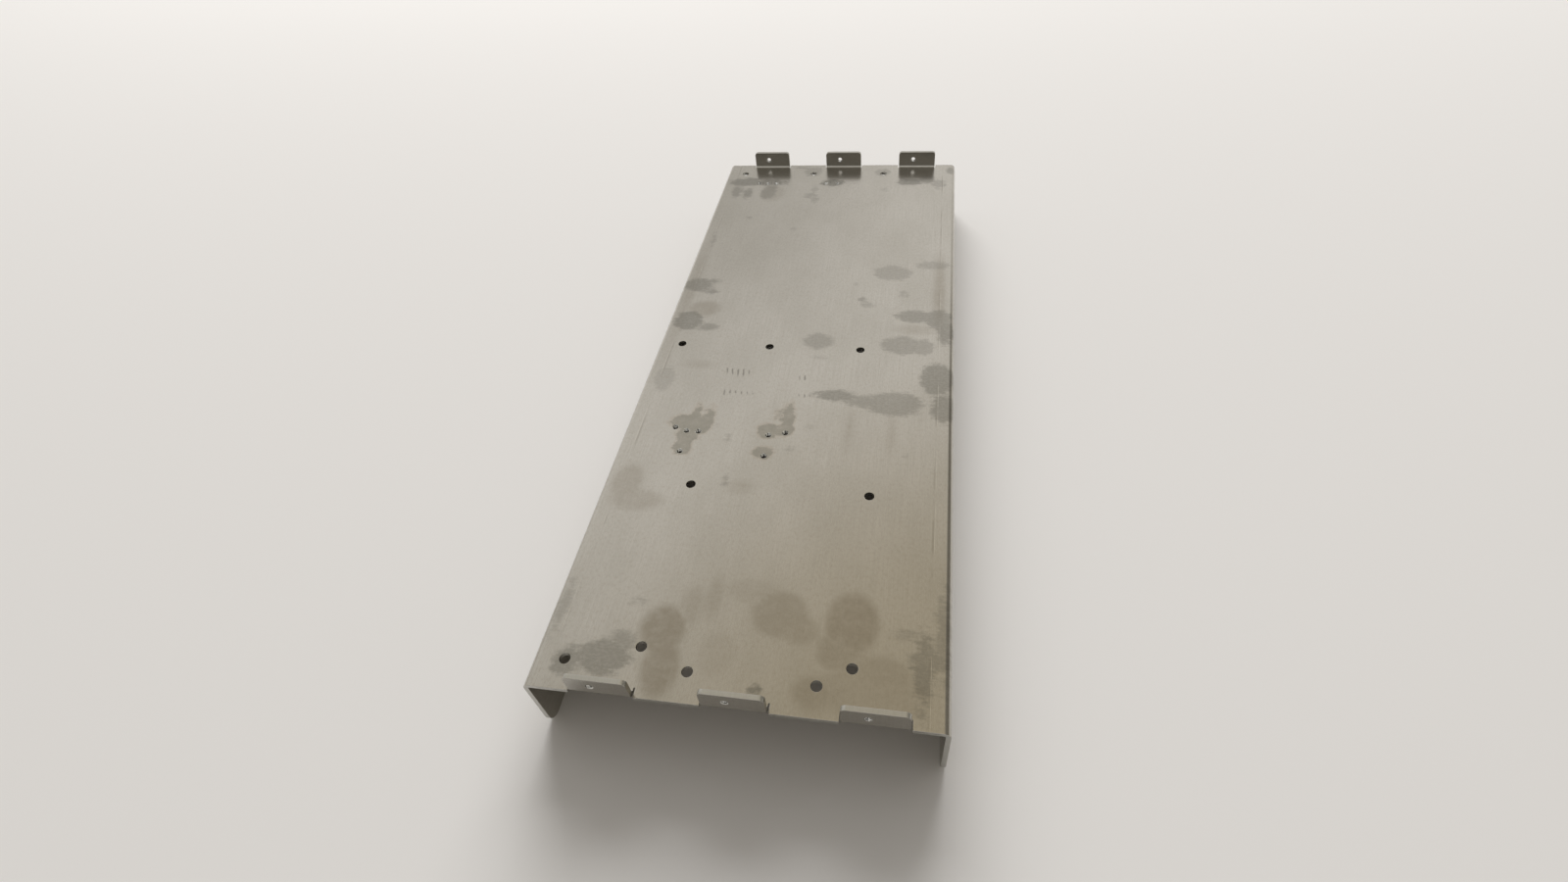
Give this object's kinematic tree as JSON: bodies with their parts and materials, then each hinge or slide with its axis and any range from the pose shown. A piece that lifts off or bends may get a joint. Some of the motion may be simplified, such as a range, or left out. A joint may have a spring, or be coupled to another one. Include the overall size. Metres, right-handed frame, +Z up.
{
  "type": "sheet metal chassis",
  "caption": "Long folded sheet metal chassis: a flat web with plain and tapped holes, flanges folded down along both sides and screw tabs folded up at both ends.",
  "frame": {"origin": "centre of the footprint, on the plane of the flanges' lower edges", "axes": "+X across the web to the right, +Y along the web towards the rear end, +Z up; the web's top face is at z = 34.5 mm"},
  "size_m": [0.1564, 0.3926, 0.0445],
  "materials": {
    "sheet": "bare mill-finish sheet with fine rolling grain along its length, handling marks and traces of oil"
  },
  "bodies": {
    "root": {"chassis": "sheet"}
  },
  "joints": []
}
